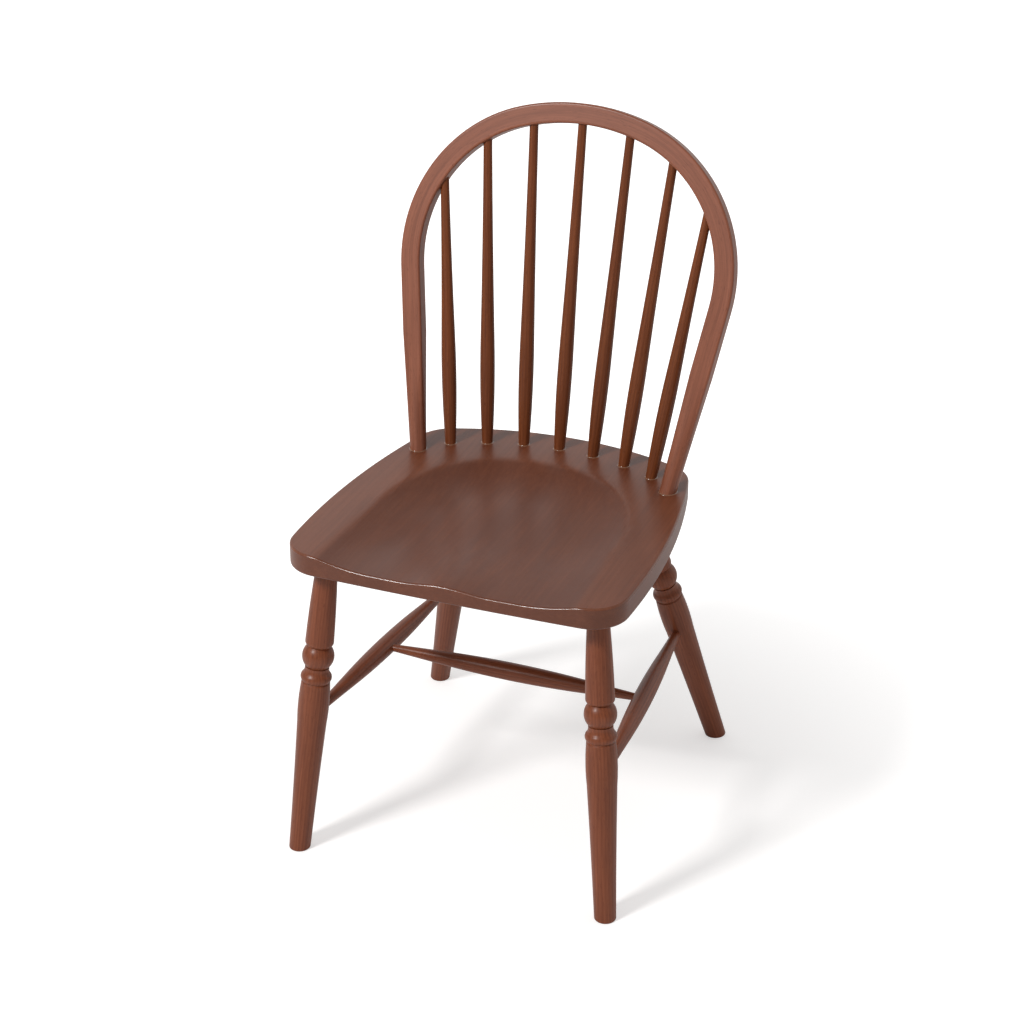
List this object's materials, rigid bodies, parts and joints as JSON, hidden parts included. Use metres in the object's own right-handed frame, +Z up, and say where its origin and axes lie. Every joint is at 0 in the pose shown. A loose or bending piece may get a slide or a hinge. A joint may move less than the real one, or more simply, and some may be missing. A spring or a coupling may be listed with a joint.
{
  "type": "windsor chair",
  "caption": "Wooden side chair with a saddled seat, a bent bow back with turned spindles, and turned splayed legs joined by stretchers.",
  "frame": {"origin": "on the floor, under the middle of the chair's outer box", "axes": "+Z up, -Y to the chair's front, +X to the right side of the picture"},
  "size_m": [0.4482, 0.4886, 0.8822],
  "materials": {
    "seat_wood": "dark reddish brown stain under satin lacquer",
    "bow_wood": "dark reddish brown stain under satin lacquer",
    "spindle_wood": "dark reddish brown stain under satin lacquer",
    "leg_wood": "dark reddish brown stain under satin lacquer"
  },
  "bodies": {
    "root": {"seat_board_left_outer": "seat_wood", "seat_board_left_inner": "seat_wood", "seat_board_middle": "seat_wood", "seat_board_right_inner": "seat_wood", "seat_board_right_outer": "seat_wood", "bow": "bow_wood", "spindle_1": "spindle_wood", "spindle_2": "spindle_wood", "spindle_3": "spindle_wood", "spindle_4": "spindle_wood", "spindle_5": "spindle_wood", "spindle_6": "spindle_wood", "spindle_7": "spindle_wood", "front_left_leg": "leg_wood", "front_right_leg": "leg_wood", "rear_left_leg": "leg_wood", "rear_right_leg": "leg_wood", "left_side_stretcher": "leg_wood", "right_side_stretcher": "leg_wood", "cross_stretcher": "leg_wood"}
  },
  "joints": []
}
